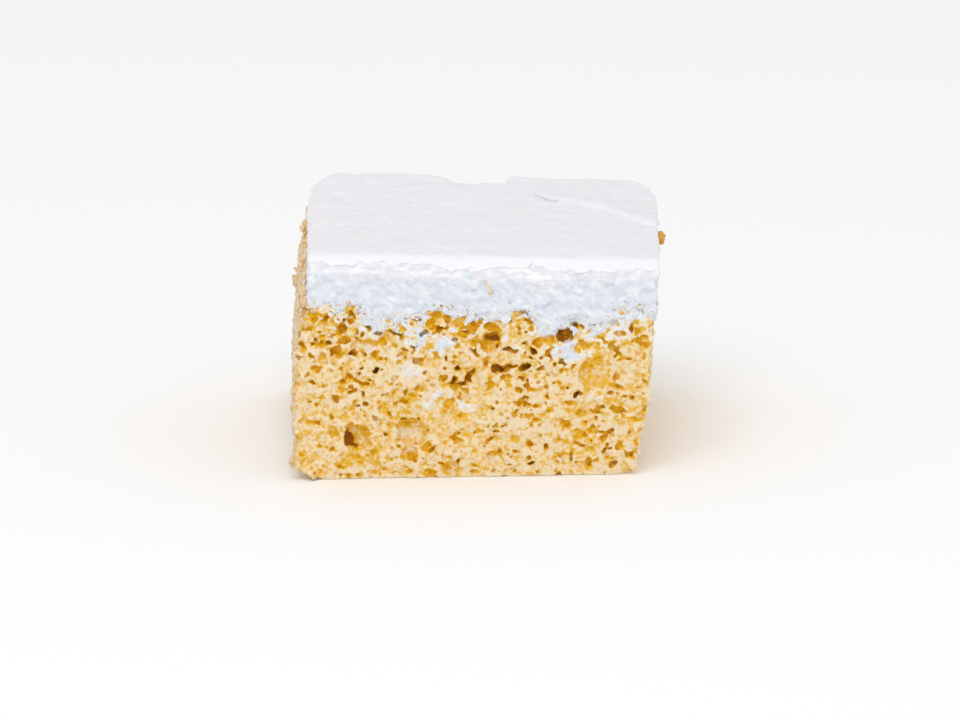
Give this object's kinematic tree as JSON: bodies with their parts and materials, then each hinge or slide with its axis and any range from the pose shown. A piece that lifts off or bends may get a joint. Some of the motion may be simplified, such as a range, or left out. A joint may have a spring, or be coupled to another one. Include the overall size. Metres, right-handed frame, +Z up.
{
  "type": "tres leches cake square",
  "caption": "Cut square of milk-soaked yellow sponge cake with open crumb on its four cut faces, under a thick smoothed layer of whipped cream.",
  "frame": {"origin": "middle of the flat base that the cake stands on", "axes": "+Z up through the sponge to the cream, +X to the right seen from the front cut, which faces -Y"},
  "size_m": [0.0829, 0.0746, 0.0518],
  "materials": {
    "sponge_crumb": "moist open crumb, pale on its ridges and golden brown inside its bubbles",
    "whipped_cream": "soft satin white, smoothed on top and dragged by the knife at the cut"
  },
  "bodies": {
    "root": {"sponge": "sponge_crumb", "cream": "whipped_cream"}
  },
  "joints": []
}
